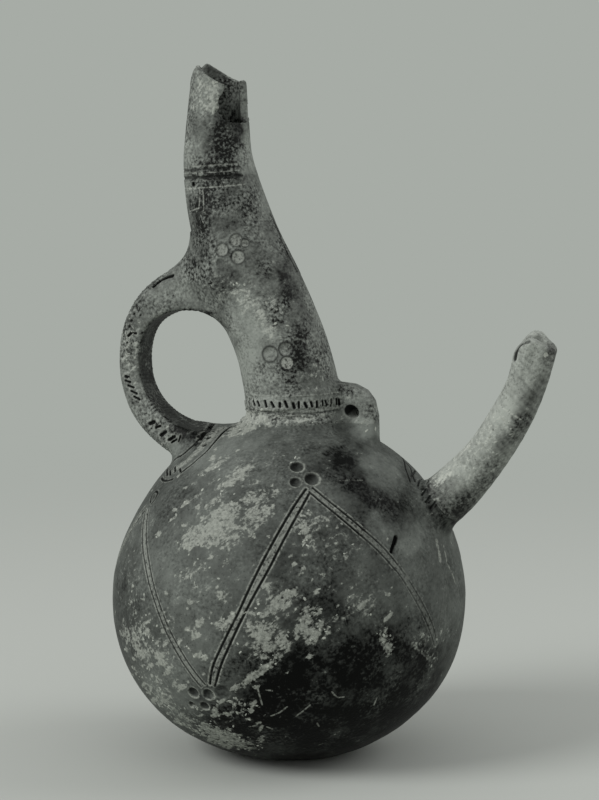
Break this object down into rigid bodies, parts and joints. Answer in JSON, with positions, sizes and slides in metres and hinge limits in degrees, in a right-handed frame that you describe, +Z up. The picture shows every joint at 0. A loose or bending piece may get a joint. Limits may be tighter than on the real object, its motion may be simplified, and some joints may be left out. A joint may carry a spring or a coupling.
{
  "type": "spouted jug",
  "caption": "Hand-built clay jug with a round belly, tall leaning neck, cut-away beak mouth, strap handle, long curved side spout and pierced string lug.",
  "frame": {"origin": "centre of the flat foot that the jug rests on", "axes": "+Z up, +X towards the side spout, so the handle is on -X and +Y is the jug's narrow way"},
  "size_m": [0.2472, 0.1952, 0.3804],
  "materials": {
    "burnished_slip": "dark burnished slip on earthenware, worn, with pale lime encrustation",
    "worn_slip": "mottled grey slip, half worn away, matt",
    "pale_clay": "pale bare clay with dark mottling, matt"
  },
  "bodies": {
    "root": {"lower_bowl": "burnished_slip", "shoulder_dome": "burnished_slip", "neck_tube": "worn_slip", "beak_mouth": "worn_slip", "neck_collar": "worn_slip", "neck_foot_roll": "worn_slip", "strap_handle": "worn_slip", "handle_root_band": "worn_slip", "handle_top_roll": "worn_slip", "side_spout": "pale_clay", "spout_root_roll": "burnished_slip", "string_lug": "worn_slip"}
  },
  "joints": []
}
